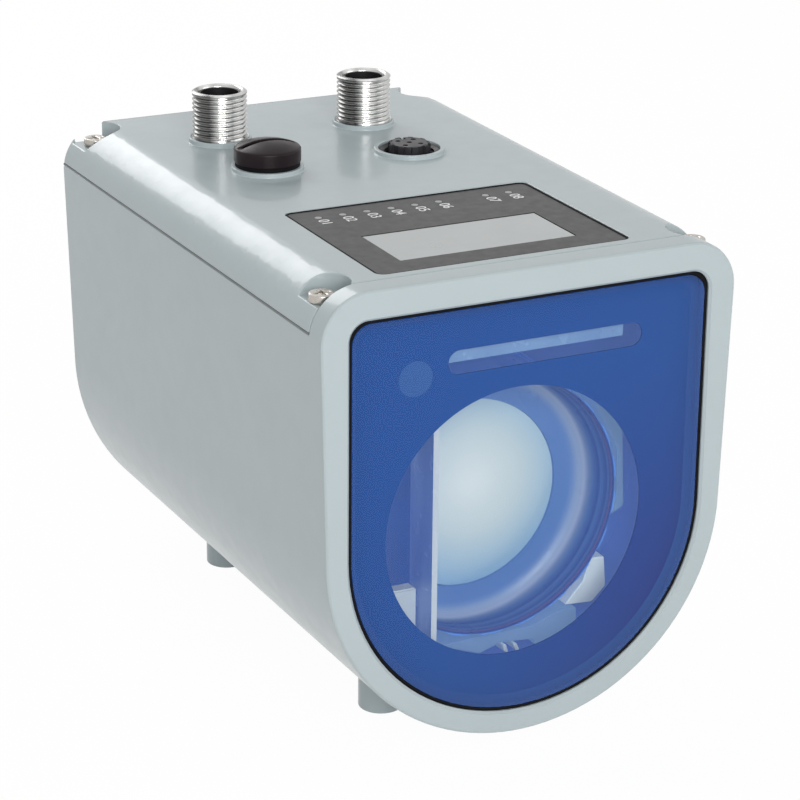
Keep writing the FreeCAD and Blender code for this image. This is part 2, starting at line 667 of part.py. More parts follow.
def sealing_cap():
    """A domed screw cap with a slot, on a hollow shank."""
    x, y = "socket_left", depth("socket_y")
    disc = post("cap_disc", x, y, "cap_seat", "cap_radius", "cap_height")
    dome = ball("cap_dome", x, y, "cap_seat + cap_height - cap_sphere", "cap_sphere")
    shank = post("cap_shank", x, y, "cap_seat - shank_length", "shank_radius", "shank_length + cut_over")
    whole = fuse("cap_blank", common("cap_head", disc, dome), shank)
    bore = post("cap_bore", x, y, "cap_seat - shank_length - cut_over", "shank_bore",
                "shank_length + cut_over + cap_hollow")
    slot = box("cap_slot_cut", "%s - 2 * cap_radius" % x, "%s - cap_slot / 2" % y,
               "cap_seat + cap_height - cap_slot_depth", "4 * cap_radius", "cap_slot", "through")
    return cut("sealing_cap", whole, bore, slot)


def cap_washer():
    x, y = "socket_left", depth("socket_y")
    disc = post("washer_disc", x, y, "top_height + socket_ring_height", "washer_outer", "washer_thick")
    hole = post("washer_hole", x, y, "top_height", "washer_inner", "through")
    return cut("cap_washer", disc, hole)


def build():
    nodes = [main_housing(), front_window(), window_seal(), window_mask(), lens_barrel(),
             lens_retainer(), receiver_lens(), optics_chassis(), glass_plate(), plate_holder(),
             laser_module(), laser_lens(), slot_light_guide(), receiver_board(),
             receiver_pillars(), receiver_detector(), cover_gasket(), top_cover(), cover_screws(),
             display_panel(), display_screen(), indicator_lamps(), display_board(),
             display_pillars(), main_board(), main_pillars(), connector_nuts(), sealing_cap(),
             cap_washer()]
    for side in ("left", "right"):
        nodes += [plug_shell(side), plug_insert(side), plug_pins(side), socket_shell(side),
                  socket_insert(side)]
    return nodes


def export(nodes):
    os.makedirs("parts", exist_ok=True)
    for obj in doc.Objects:
        if "Invalid" in obj.State or "Error" in obj.State:
            raise RuntimeError("not built: " + obj.Name)
    for node in nodes:
        if node.Shape.isNull() or not node.Shape.isValid():
            raise RuntimeError("bad shape: " + node.Label)
        node.Shape.exportStep("parts/%s.step" % node.Label)


NODES = build()
doc.recompute()
export(NODES)
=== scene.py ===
import itertools
import json
import math

import bmesh
import bpy
from mathutils import Matrix, Vector


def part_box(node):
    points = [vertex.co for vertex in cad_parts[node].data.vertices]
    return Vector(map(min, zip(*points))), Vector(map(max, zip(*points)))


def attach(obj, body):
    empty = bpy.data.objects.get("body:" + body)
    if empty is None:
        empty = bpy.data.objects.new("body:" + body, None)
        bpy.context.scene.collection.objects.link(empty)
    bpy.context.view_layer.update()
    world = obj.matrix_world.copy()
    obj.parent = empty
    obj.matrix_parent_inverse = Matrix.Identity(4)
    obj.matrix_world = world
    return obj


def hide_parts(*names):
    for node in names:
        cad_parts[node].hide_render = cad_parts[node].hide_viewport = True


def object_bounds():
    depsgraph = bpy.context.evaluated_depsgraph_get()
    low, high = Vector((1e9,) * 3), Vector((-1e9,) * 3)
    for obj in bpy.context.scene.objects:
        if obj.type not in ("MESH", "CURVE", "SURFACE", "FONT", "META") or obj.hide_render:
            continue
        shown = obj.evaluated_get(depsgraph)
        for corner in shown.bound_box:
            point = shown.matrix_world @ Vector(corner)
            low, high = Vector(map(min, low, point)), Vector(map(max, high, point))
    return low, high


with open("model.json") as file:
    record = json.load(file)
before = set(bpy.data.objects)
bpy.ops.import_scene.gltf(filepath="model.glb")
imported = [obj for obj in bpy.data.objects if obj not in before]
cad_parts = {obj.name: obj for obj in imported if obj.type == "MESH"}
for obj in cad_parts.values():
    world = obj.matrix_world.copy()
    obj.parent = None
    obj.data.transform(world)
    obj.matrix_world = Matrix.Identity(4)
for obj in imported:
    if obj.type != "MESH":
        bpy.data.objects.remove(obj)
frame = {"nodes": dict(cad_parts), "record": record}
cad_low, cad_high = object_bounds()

MM = 0.001
NODES = frame["nodes"]
SLOTS = {part["node"]: part["material_slot"] for part in frame["record"]["subparts"]}


# Places in the frame

def centre_of(node):
    low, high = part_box(node)
    return (low + high) / 2


def radius_of(node):
    """Half the width of a round node."""
    low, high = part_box(node)
    return (high.x - low.x) / 2


# Depths are counted from the y of the front face
FRONT = cad_low.y
OPTICS_X, _, OPTICS_Z = centre_of("receiver_lens")


# Camera, as fitted to the outline in the photograph

EYE = Vector((-247.35, -502.35, 263.14)) * MM
YAW, TILT, ROLL = math.radians(26.636), math.radians(20.725), math.radians(0.567)
FOCAL_PIXELS, FRAME_PIXELS, SENSOR_MM = 2779.0, 800.0, 36.0
NEAREST = 10 * MM


def add_camera():
    forward = Vector((math.sin(YAW) * math.cos(TILT), math.cos(YAW) * math.cos(TILT),
                      -math.sin(TILT)))
    level = Vector((math.cos(YAW), -math.sin(YAW), 0))
    upright = level.cross(forward)
    right = level * math.cos(ROLL) + upright * math.sin(ROLL)
    up = upright * math.cos(ROLL) - level * math.sin(ROLL)
    data = bpy.data.cameras.new("photo_camera")
    data.sensor_width = SENSOR_MM
    data.lens = FOCAL_PIXELS / FRAME_PIXELS * SENSOR_MM
    data.clip_start = NEAREST
    camera = bpy.data.objects.new("photo_camera", data)
    axes = Matrix((right, up, -forward)).transposed().to_4x4()
    camera.matrix_world = Matrix.Translation(EYE) @ axes
    bpy.context.collection.objects.link(camera)
    bpy.context.scene.camera = camera


# Materials. Colours are linear red, green and blue.

# Axes along which a distance is counted: over the front, or into the part
OVER_FRONT, INWARD = (1, 0, 1), (0, 1, 0)
# Where a noise, which stays round 0.5, counts as low and as high
NOISE_LOW, NOISE_HIGH = 0.3, 0.7


class Paint:
    """A Principled material with a few helpers for its procedural texture."""

    def __init__(self, name):
        self.material = bpy.data.materials.new(name)
        self.material.use_nodes = True
        self.tree = self.material.node_tree
        self.shader = self.tree.nodes["Principled BSDF"]
        self.coordinates = self.tree.nodes.new("ShaderNodeTexCoord").outputs
        self.place = self.coordinates["Object"]

    def node(self, kind, **inputs):
        made = self.tree.nodes.new(kind)
        for name, value in inputs.items():
            made.inputs[name.replace("_", " ")].default_value = value
        return made

    def link(self, source, target):
        self.tree.links.new(source, target)

    def set(self, **inputs):
        for name, value in inputs.items():
            self.shader.inputs[name.replace("_", " ")].default_value = value
        return self

    def glow(self, strength, colour):
        return self.set(Emission_Strength=strength, Emission_Color=(*colour, 1))

    def feed(self, source, *names):
        """Joins an output to the named inputs of the shader."""
        for name in names:
            self.link(source, self.shader.inputs[name])
        return self

    def vector(self, operation, source, value=(0, 0, 0)):
        made = self.tree.nodes.new("ShaderNodeVectorMath")
        made.operation = operation
        self.link(source, made.inputs[0])
        made.inputs[1].default_value = value
        return made.outputs["Value" if operation == "LENGTH" else "Vector"]

    def along(self, coordinate, axis):
        """One component of a texture coordinate."""
        made = self.node("ShaderNodeSeparateXYZ")
        self.link(self.coordinates[coordinate], made.inputs[0])
        return made.outputs[axis]

    def noise(self, scale, detail=3.0, stretch=(1, 1, 1)):
        made = self.node("ShaderNodeTexNoise", Scale=scale, Detail=detail)
        self.link(self.vector("MULTIPLY", self.place, stretch), made.inputs["Vector"])
        return made.outputs["Fac"]

    def scaled(self, source, **limits):
        """A value that goes from 0 to 1 between its limits."""
        made = self.node("ShaderNodeMapRange", **limits)
        self.link(source, made.inputs["Value"])
        return made.outputs["Result"]

    def reach(self, centre, axes, largest):
        """The distance from a point, counted along the given axes only, from 0 to 1."""
        offset = self.vector("SUBTRACT", self.place, centre)
        span = self.vector("LENGTH", self.vector("MULTIPLY", offset, axes))
        return self.scaled(span, From_Max=largest)

    def ramp(self, source, stops):
        made = self.tree.nodes.new("ShaderNodeValToRGB")
        points = made.color_ramp.elements
        while len(points) < len(stops):
            points.new(0.5)
        for point, (at, colour) in zip(points, stops):
            point.position = at
            point.color = (*colour, 1)
        self.link(source, made.inputs["Fac"])
        return made.outputs["Color"]

    def mix(self, factor, first, colour):
        """A first colour output, and a plain colour where the factor is 1."""
        made = self.tree.nodes.new("ShaderNodeMix")
        made.data_type = "RGBA"
        self.link(factor, made.inputs["Factor"])
        self.link(first, made.inputs["A"])
        made.inputs["B"].default_value = (*colour, 1)
        return made.outputs["Result"]

    def mottle(self, colour, spread, scale):
        """The base colour, with a slow drift of lightness over the surface."""
        dark = tuple(c * (1 - spread) for c in colour)
        light = tuple(min(1, c * (1 + spread)) for c in colour)
        drift = self.ramp(self.noise(scale), ((NOISE_LOW, dark), (NOISE_HIGH, light)))
        return self.feed(drift, "Base Color")

    def rough(self, low, high, scale):
        greys = ((NOISE_LOW, (low,) * 3), (NOISE_HIGH, (high,) * 3))
        return self.feed(self.ramp(self.noise(scale), greys), "Roughness")

    def bump(self, scale, height_mm, strength=0.3):
        made = self.node("ShaderNodeBump", Strength=strength, Distance=height_mm * MM)
        self.link(self.noise(scale), made.inputs["Height"])
        return self.feed(made.outputs["Normal"], "Normal")


look_makers = {}
made_materials = {}


def look_maker(maker):
    """Keeps a function that paints a look, under the function's own name."""
    look_makers[maker.__name__] = maker
    return maker


def material(look):
    """The material of a look, made when it is first asked for."""
    if look not in made_materials:
        paint = Paint(look)
        look_makers[look](paint)
        made_materials[look] = paint.material
    return made_materials[look]


@look_maker
def housing_paint(paint):
    paint.set(Coat_Weight=0.3, Coat_Roughness=0.07, Specular_IOR_Level=0.35)
    paint.mottle((0.385, 0.445, 0.46), spread=0.015, scale=60)
    paint.rough(0.32, 0.40, scale=220).bump(scale=900, height_mm=0.02, strength=0.08)


@look_maker
def window_glass(paint):
    paint.set(Transmission_Weight=1.0, IOR=1.47, Specular_Tint=(0.5, 0.56, 0.68, 1))
    paint.mottle((0.93, 0.96, 1.0), spread=0.01, scale=30).rough(0.0, 0.01, scale=60)


def print_finish(paint):
    """The dull finish that the inks on the glass and the painted bevel reflection share."""
    paint.set(Specular_IOR_Level=0.0).rough(0.45, 0.55, scale=80)


@look_maker
def mask_print(paint):
    """Blue print, with a painted reflection that turns it violet towards the window's lower right.
    """
    # Painted reflection: the print drifts to violet towards this corner
    reflected_violet_corner, span = (38 * MM, 0, 24 * MM), 80 * MM
    colour = paint.ramp(paint.reach(reflected_violet_corner, OVER_FRONT, span), (
        (0.05, (0.018, 0.038, 0.20)), (0.35, (0.016, 0.053, 0.228)), (0.7, (0.0145, 0.066, 0.255))))
    paint.feed(colour, "Base Color")
    print_finish(paint)


@look_maker
def bevel_reflection_paint(paint):
    # Painted reflection: a paler blue for the band under the glass's bevel
    paint.mottle((0.024, 0.076, 0.272), spread=0.03, scale=25)
    print_finish(paint)


@look_maker
def spot_ink(paint):
    paint.mottle((0.033, 0.097, 0.29), spread=0.03, scale=25)
    print_finish(paint)


@look_maker
def seal_rubber(paint):
    paint.set(Specular_IOR_Level=0.08).mottle((0.005, 0.005, 0.006), spread=0.2, scale=300)
    paint.rough(0.55, 0.7, scale=200).bump(scale=1500, height_mm=0.02)


@look_maker
def gasket_rubber(paint):
    paint.mottle((0.16, 0.175, 0.18), spread=0.1, scale=300)
    paint.rough(0.5, 0.6, scale=200).bump(scale=1500, height_mm=0.02)


@look_maker
def lens_glass(paint):
    """A lens with a painted highlight, bright in the middle and blue towards its rim, and a faint
    painted glow.
    """
    # Painted glow: a faint emission, though the lens is no lamp
    paint.set(Coat_Weight=0.3, Coat_Roughness=0.05, Emission_Strength=0.08)
    # Painted highlight: the colour is palest round this point and bluer towards the rim
    painted_highlight_centre, span = (OPTICS_X, 0, OPTICS_Z + 2 * MM), 24 * MM
    colour = paint.ramp(paint.reach(painted_highlight_centre, OVER_FRONT, span), (
        (0.0, (0.59, 0.645, 0.64)), (0.45, (0.437, 0.535, 0.555)),
        (0.75, (0.265, 0.414, 0.533)), (1.0, (0.115, 0.278, 0.494))))
    paint.feed(colour, "Base Color", "Emission Color").rough(0.16, 0.22, scale=60)


@look_maker
def optics_metal(paint):
    # Painted glow: a faint emission lifts this metal in the shade inside the housing
    paint.glow(0.1, (0.45, 0.55, 0.68)).mottle((0.68, 0.785, 0.785), spread=0.06, scale=120)
    paint.rough(0.35, 0.5, scale=260).bump(scale=1200, height_mm=0.01)


@look_maker
def optics_blue(paint):
    # Painted glow: an emission lifts these parts in the shade inside the housing
    paint.glow(0.2, (0.02, 0.09, 0.30)).mottle((0.004, 0.046, 0.22), spread=0.12, scale=90)
    paint.rough(0.3, 0.45, scale=200)


@look_maker
def liner_blue(paint):
    # Painted glow: an emission lifts the liner in the shade inside the housing
    paint.glow(0.4, (0.06, 0.14, 0.36)).mottle((0.05, 0.15, 0.47), spread=0.12, scale=90)
    paint.rough(0.3, 0.45, scale=200)


@look_maker
def lug_blue(paint):
    # Painted glow: a strong emission lifts these lugs, which lie in shade
    paint.glow(0.6, (0.12, 0.24, 0.44)).mottle((0.085, 0.13, 0.247), spread=0.12, scale=140)
    paint.rough(0.3, 0.45, scale=200)


@look_maker
def holder_metal(paint):
    paint.mottle((0.48, 0.555, 0.60), spread=0.10, scale=160)
    paint.rough(0.4, 0.55, scale=260).bump(scale=1200, height_mm=0.01)


@look_maker
def barrel_coat(paint):
    """The turned tube: dark wall with fine pale rings, a painted highlight on its fillet and a
    plain blue floor.
    """
    # Painted glow: the tube's colours also glow, lifting its shaded inside
    paint.set(Emission_Strength=0.2, Coat_Weight=0.1, Coat_Roughness=0.1, Specular_IOR_Level=0.25)
    edge, dark, line = (0.08, 0.064, 0.22), (0.008, 0.050, 0.23), (0.034, 0.10, 0.30)
    front, span = (0, FRONT + 13 * MM, 0), 9 * MM
    # The pale stops from 0.66 to 0.87 are a painted highlight where the wall curves into the floor
    inside = paint.ramp(paint.reach(front, INWARD, span), (
        (0.01, dark), (0.04, edge), (0.10, dark), (0.18, line), (0.21, dark), (0.36, line),
        (0.39, dark), (0.55, line), (0.66, (0.092, 0.162, 0.32)), (0.76, (0.225, 0.285, 0.43)),
        (0.87, (0.155, 0.235, 0.39)), (0.93, (0.058, 0.146, 0.365))))
    # The radii between which the outside's colour takes over, and the largest, in mm
    inner, outer, largest = 26.9, 27.2, 28.0
    radius = paint.reach((OPTICS_X, 0, OPTICS_Z), OVER_FRONT, largest * MM)
    outside = paint.scaled(radius, From_Min=inner / largest, From_Max=outer / largest)
    # Painted light: the outside's strong blue is lifted to make up for the shade it lies in
    colour = paint.mix(outside, inside, (0.09, 0.24, 0.66))
    paint.feed(colour, "Base Color", "Emission Color").rough(0.25, 0.4, scale=150)


@look_maker
def plate_glass(paint):
    """An upright glass plate: streaked faces and a pale ground edge to the front."""
    # Painted glow: the plate's colours glow, though it is no lamp
    paint.set(Coat_Weight=0.3, Coat_Roughness=0.06, Emission_Strength=0.25)
    streaks = paint.ramp(paint.noise(140, detail=6.0, stretch=(1, 1, 0.2)), (
        (0.35, (0.062, 0.146, 0.437)), (0.6, (0.114, 0.218, 0.52)), (0.78, (0.31, 0.437, 0.70))))
    facing_front = paint.scaled(paint.along("Normal", "Y"), From_Min=-0.5, From_Max=-0.9)
    colour = paint.mix(facing_front, streaks, (0.335, 0.385, 0.445))
    paint.feed(colour, "Base Color", "Emission Color").rough(0.15, 0.3, scale=300)


@look_maker
def guide_plastic(paint):
    # Painted glow: a faint emission, though the bar is no lamp
    paint.glow(0.05, (0.3, 0.5, 0.85))
    streaks = paint.noise(60, detail=4.0, stretch=(1, 0.3, 0.3))
    colour = paint.ramp(streaks, ((0.35, (0.085, 0.185, 0.39)), (0.65, (0.14, 0.26, 0.455))))
    paint.feed(colour, "Base Color").rough(0.2, 0.3, scale=120)


@look_maker
def board(paint):
    paint.mottle((0.02, 0.14, 0.07), spread=0.2, scale=180).rough(0.3, 0.45, scale=200)


@look_maker
def screw_steel(paint):
    paint.set(Metallic=1.0).mottle((0.46, 0.435, 0.40), spread=0.15, scale=400)
    paint.rough(0.2, 0.34, scale=700).bump(scale=1600, height_mm=0.01)


@look_maker
def panel_film(paint):
    paint.set(Specular_IOR_Level=0.35).mottle((0.020, 0.020, 0.021), spread=0.04, scale=300)
    paint.rough(0.36, 0.44, scale=500).bump(scale=2500, height_mm=0.008)


@look_maker
def screen(paint):
    paint.set(Coat_Weight=0.4, Coat_Roughness=0.05)
    paint.mottle((0.35, 0.375, 0.375), spread=0.03, scale=90).rough(0.2, 0.28, scale=120)


@look_maker
def lamp_plastic(paint):
    paint.mottle((0.30, 0.30, 0.30), spread=0.08, scale=500).rough(0.3, 0.4, scale=400)


@look_maker
def connector_nickel(paint):
    """Polished nickel, with upright light and dark streaks: painted reflections of its
    surroundings.
    """
    # Painted reflections: light and dark greys round the tube stand in for the surroundings
    greys = ((0.0, 0.55), (0.04, 0.16), (0.17, 0.13), (0.26, 0.55), (0.42, 0.78), (0.55, 0.48),
             (0.75, 0.58), (0.9, 0.40), (1.0, 0.6))
    warm_reflection_streaks = [(at, (grey, grey, 0.98 * grey)) for at, grey in greys]
    colour = paint.ramp(paint.along("Generated", "X"), warm_reflection_streaks)
    paint.set(Metallic=1.0).feed(colour, "Base Color").rough(0.16, 0.26, scale=500)


@look_maker
def insert_plastic(paint):
    paint.set(Specular_IOR_Level=0.25).mottle((0.012, 0.011, 0.013), spread=0.2, scale=400)
    paint.rough(0.35, 0.5, scale=500).bump(scale=2000, height_mm=0.01)


@look_maker
def core_plastic_highlit(paint):
    # Painted highlight: a lighter copy of the insert's black plastic, for the core's pale sheen
    paint.set(Specular_IOR_Level=0.25).mottle((0.026, 0.025, 0.030), spread=0.2, scale=400)
    paint.rough(0.3, 0.42, scale=500).bump(scale=2000, height_mm=0.01)


@look_maker
def contact_gold(paint):
    paint.set(Metallic=1.0).mottle((0.78, 0.58, 0.25), spread=0.08, scale=600)
    paint.rough(0.18, 0.28, scale=600)


@look_maker
def cap_plastic(paint):
    paint.set(Specular_IOR_Level=0.15).mottle((0.013, 0.008, 0.010), spread=0.2, scale=260)
    paint.rough(0.30, 0.42, scale=400).bump(scale=1300, height_mm=0.015, strength=0.2)


@look_maker
def mark_ink(paint):
    paint.mottle((0.8, 0.8, 0.8), spread=0.05, scale=800).rough(0.5, 0.6, scale=600)


# Nodes whose look differs from the rest of their slot
NODE_LOOKS = {
    "cover_gasket": "gasket_rubber", "optics_chassis": "liner_blue", "glass_plate": "plate_glass",
    "laser_module": "optics_blue", "laser_lens": "optics_blue",
    "right_socket_insert": "core_plastic_highlit",
}


# CAD nodes: smooth shading on the round faces, crisp edges elsewhere

# Points that are nearer than this are joined
WELD = 0.002 * MM
# Bevel width at full weight
BEVELS = {"main_housing": 0.8 * MM, "top_cover": 0.8 * MM, "sealing_cap": 1.0 * MM,
          "cover_screws": 1.0 * MM}
BEVEL_SEGMENTS = 3
# Triangles that lie this flat to each other are one face
FLAT = math.radians(0.5)
# Edges up to the first depth get the full bevel, and those past the second get less
RIM_DEPTH, RIM_FADE = 0.1 * MM, 0.2 * MM


def geometry_tree(name):
    """A node group for a modifier, with its ends."""
    tree = bpy.data.node_groups.new(name, "GeometryNodeTree")
    for end in ("INPUT", "OUTPUT"):
        tree.interface.new_socket("Geometry", in_out=end, socket_type="NodeSocketGeometry")
    return tree, tree.nodes.new("NodeGroupInput"), tree.nodes.new("NodeGroupOutput")


def sharp_edges(tree, degrees):
    """An output that is true on the edges that turn by more than an angle."""
    angle = tree.nodes.new("GeometryNodeInputMeshEdgeAngle")
    sharp = tree.nodes.new("FunctionNodeCompare")
    sharp.operation = "GREATER_THAN"
    sharp.inputs["B"].default_value = math.radians(degrees)
    tree.links.new(angle.outputs["Unsigned Angle"], sharp.inputs["A"])
    return sharp.outputs["Result"]


def smoothing_tree(sharp_degrees=25):
    """Shades a mesh smooth, apart from its sharp edges."""
    tree, start, end = geometry_tree("round_faces")
    weld = tree.nodes.new("GeometryNodeMergeByDistance")
    weld.inputs["Distance"].default_value = WELD
    smooth = tree.nodes.new("GeometryNodeSetShadeSmooth")
    crisp = tree.nodes.new("GeometryNodeSetShadeSmooth")
    crisp.domain = "EDGE"
    crisp.inputs["Shade Smooth"].default_value = False
    tree.links.new(sharp_edges(tree, sharp_degrees), crisp.inputs["Selection"])
    chain = (start, weld, smooth, crisp, end)
    for source, target in zip(chain, chain[1:]):
        tree.links.new(source.outputs[0], target.inputs["Geometry"])
    return tree


def rim_tree(sharp_degrees=50, front_weight=1.0, other_weight=0.35):
    """Marks the sharp edges for the bevel: in full round the front, less elsewhere."""
    tree, start, end = geometry_tree("rims")
    link = tree.links.new
    place = tree.nodes.new("ShaderNodeSeparateXYZ")
    link(tree.nodes.new("GeometryNodeInputPosition").outputs[0], place.inputs[0])
    weight = tree.nodes.new("ShaderNodeMapRange")
    limits = {"From Min": FRONT + RIM_DEPTH, "From Max": FRONT + RIM_FADE,
              "To Min": front_weight, "To Max": other_weight}
    for name, value in limits.items():
        weight.inputs[name].default_value = value
    link(place.outputs["Y"], weight.inputs["Value"])
    store = tree.nodes.new("GeometryNodeStoreNamedAttribute")
    store.domain = "EDGE"
    store.inputs["Name"].default_value = "bevel_weight_edge"
    link(sharp_edges(tree, sharp_degrees), store.inputs["Selection"])
    link(weight.outputs["Result"], store.inputs["Value"])
    link(start.outputs[0], store.inputs["Geometry"])
    link(store.outputs[0], end.inputs["Geometry"])
    return tree


def soften(node, width, tree):
    """Breaks a node's sharp edges, after its triangles are joined into flat faces."""
    node.modifiers.new("weld", "WELD").merge_threshold = WELD
    flat = node.modifiers.new("flat", "DECIMATE")
    flat.decimate_type = "DISSOLVE"
    flat.angle_limit = FLAT
    node.modifiers.new("rims", "NODES").node_group = tree
    bevel = node.modifiers.new("bevel", "BEVEL")
    bevel.limit_method = "WEIGHT"
    bevel.width = width
    bevel.segments = BEVEL_SEGMENTS
    bevel.use_clamp_overlap = False


def dress_nodes():
    smoothing, rims = smoothing_tree(), rim_tree()
    for name, node in NODES.items():
        node.data.materials.clear()
        node.data.materials.append(material(NODE_LOOKS.get(name, SLOTS[name])))
        if name in BEVELS:
            soften(node, BEVELS[name], rims)
        node.modifiers.new("round_faces", "NODES").node_group = smoothing
        weighted = node.modifiers.new("flat_faces", "WEIGHTED_NORMAL")
        weighted.keep_sharp = True


# Mesh helpers

def piece(name, mesh, slot, look=None, replaces=()):
    """A piece of the housing, painted with a slot's material, or with its own look where that
    differs.
    """
    obj = bpy.data.objects.new(name, mesh)
    bpy.context.collection.objects.link(obj)
    mesh.materials.append(material(look or slot))
    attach(obj, "housing")
    if replaces:
        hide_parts(*replaces)
    return obj


def finish_mesh(bm, name):
    """A mesh from a bmesh, which is then let go."""
    mesh = bpy.data.meshes.new(name)
    bm.to_mesh(mesh)
    bm.free()
    return mesh


def loft(rings, closed=False):
    """A mesh from rings of points, each with the same number of points.

    The last ring joins the first where it is closed. Otherwise the two ends get a face."""
    bm = bmesh.new()
    rows = [[bm.verts.new(p) for p in ring] for ring in rings]
    pairs = list(zip(rows, rows[1:]))
    if closed:
        pairs.append((rows[-1], rows[0]))
    count = len(rows[0])
    for a, b in pairs:
        for i in range(count):
            j = (i + 1) % count
            bm.faces.new((a[i], a[j], b[j], b[i]))
    if not closed:
        bm.faces.new(list(reversed(rows[0])))
        bm.faces.new(rows[-1])
    bmesh.ops.recalc_face_normals(bm, faces=bm.faces)
    return finish_mesh(bm, "loft")


def prism(outline, low, high):
    """A flat shape in x and z, from one y to another."""
    return loft([[(x, y, z) for x, z in outline] for y in (low, high)])


def rectangle(left, bottom, right, top):
    return [(left, bottom), (right, bottom), (right, top), (left, top)]


def break_edges(mesh, back, width, sharp_degrees=40, segments=2, margin=0.01 * MM):
    """Takes the sharp edges off a mesh, all but those in its back plane."""
    bm = bmesh.new()
    bm.from_mesh(mesh)
    sharp = [edge for edge in bm.edges if edge.calc_face_angle(0) > math.radians(sharp_degrees)
             and min(v.co.y for v in edge.verts) < back - margin]
    bmesh.ops.bevel(bm, geom=sharp, offset=width, segments=segments, affect="EDGES",
                    clamp_overlap=True)
    bm.to_mesh(mesh)
    bm.free()
    return mesh


def shade(mesh, sharp_degrees=30):
    mesh.polygons.foreach_set("use_smooth", [True] * len(mesh.polygons))
    mesh.set_sharp_from_angle(angle=math.radians(sharp_degrees))
    return mesh


def circle(x, y, z, radius, count=96):
    """A ring of points round an upright axis; radius is a number or a function of the angle."""
    points = []
    for i in range(count):
        angle = 2 * math.pi * i / count
        r = radius(angle) if callable(radius) else radius
        points.append((x + r * math.cos(angle), y + r * math.sin(angle), z))
    return points


def turned(x, y, section):
    """Rings round an upright axis, from pairs of radius and height."""
    return [circle(x, y, z, radius) for radius, z in section]


# Plugs and sockets, with M12 x 1 threads

THREAD_RADIUS, THREAD_PITCH, THREAD_DEPTH = 6.0 * MM, 1.0 * MM, 0.45 * MM
# The radius inside the threads of a socket
SOCKET_BORE = 5.46 * MM
# Rings in one turn, the share of the pitch over which a thread fades out, and the steepness
# of its flanks
THREAD_STEPS, THREAD_FADE, THREAD_FLANK = 8, 0.7, 1.35
PLUG_LIP, PLUG_COLLAR_GAP = 0.45 * MM, 0.2 * MM
# How far the bevel at a plug's mouth goes inwards and down
PLUG_BEVEL_IN, PLUG_BEVEL_DOWN = 1.3 * PLUG_LIP, 0.7 * PLUG_LIP
SOCKET_LIP, SOCKET_FLOOR = 0.4 * MM, 2 * MM
SOCKET_BEVEL_IN, SOCKET_BEVEL_DOWN = 2 * SOCKET_LIP, 1.2 * SOCKET_LIP
TURNED_DEGREES = 50


def thread_rings(x, y, bottom, top, radius, inward):
    """Rings of a thread from top to bottom; its grooves go in, or out on a socket."""
    count = int((top - bottom) / THREAD_PITCH * THREAD_STEPS)
    fade_length = THREAD_FADE * THREAD_PITCH
    rings = []
    for i in range(count + 1):
        z = bottom + (top - bottom) * i / count
        fade = min(1, (top - z) / fade_length, (z - bottom) / fade_length)

        def radius_at(angle, z=z, fade=fade):
            turn = ((z / THREAD_PITCH) - angle / (2 * math.pi)) % 1.0
            groove = min(1, THREAD_FLANK * (1 - abs(2 * turn - 1))) * THREAD_DEPTH * fade
            return radius - groove if inward else radius + groove
        rings.append(circle(x, y, z, radius_at))
    return rings[::-1]


def plug(side):
    """The threaded tube of a plug, with a bevelled mouth."""
    node = side + "_plug_shell"
    low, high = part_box(node)
    x, y, _ = centre_of(node)
    bore, base = radius_of(side + "_plug_insert"), radius_of(node)
    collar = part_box("top_cover")[1].z
    mouth = turned(x, y, ((bore, low.z), (bore, high.z - PLUG_LIP), (bore + PLUG_LIP, high.z),
                          (THREAD_RADIUS - PLUG_BEVEL_IN, high.z)))
    thread = thread_rings(x, y, collar + PLUG_COLLAR_GAP, high.z - PLUG_BEVEL_DOWN,
                          THREAD_RADIUS, inward=True)
    foot = turned(x, y, ((THREAD_RADIUS, collar), (base, collar), (base, low.z)))
    mesh = shade(loft(mouth + thread + foot, closed=True), TURNED_DEGREES)
    return piece(side + "_plug_threaded", mesh, "connector_nickel", replaces=[node])


def socket(side):
    """The threaded sleeve of a socket, with a bevelled mouth."""
    node = side + "_socket_shell"
    low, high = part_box(node)
    x, y, _ = centre_of(node)
    core, outer = radius_of(side + "_socket_insert"), radius_of(node)
    floor = low.z + SOCKET_FLOOR
    sleeve = turned(x, y, ((core, low.z), (outer, low.z), (outer, high.z - SOCKET_LIP / 2),
                           (outer - SOCKET_LIP / 2, high.z),
                           (SOCKET_BORE + SOCKET_BEVEL_IN, high.z)))
    thread = thread_rings(x, y, floor, high.z - SOCKET_BEVEL_DOWN, SOCKET_BORE, inward=False)
    rings = sleeve + thread + [circle(x, y, floor, core)]
    mesh = shade(loft(rings, closed=True), TURNED_DEGREES)
    return piece(side + "_socket_threaded", mesh, "insert_plastic", replaces=[node])


def core_ribs(side, count=9, depth=0.5 * MM, width=1.5 * MM, length=4 * MM, bevel=0.2 * MM):
    """Upright ribs round the contact carrier of a socket, bevelled at the top."""
    node = side + "_socket_insert"
    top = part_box(node)[1].z
    x, y, _ = centre_of(node)
    sizes = Matrix.Diagonal((2 * depth, width, length, 1))
    outwards = Vector((radius_of(node), 0, top - length / 2))
    bm = bmesh.new()
    for i in range(count):
        turn = Matrix.Rotation(2 * math.pi * (i + 0.5) / count, 4, "Z")
        rib = bmesh.ops.create_cube(bm, size=1, matrix=sizes)["verts"]
        bmesh.ops.translate(bm, verts=rib, vec=outwards)
        bmesh.ops.transform(bm, verts=rib, matrix=Matrix.Translation((x, y, 0)) @ turn)
    bmesh.ops.bevel(bm, geom=bm.edges[:], offset=bevel, segments=2, affect="EDGES")
    mesh = shade(finish_mesh(bm, "ribs"))
    return piece(side + "_socket_ribs", mesh, "insert_plastic", "core_plastic_highlit")


# Window

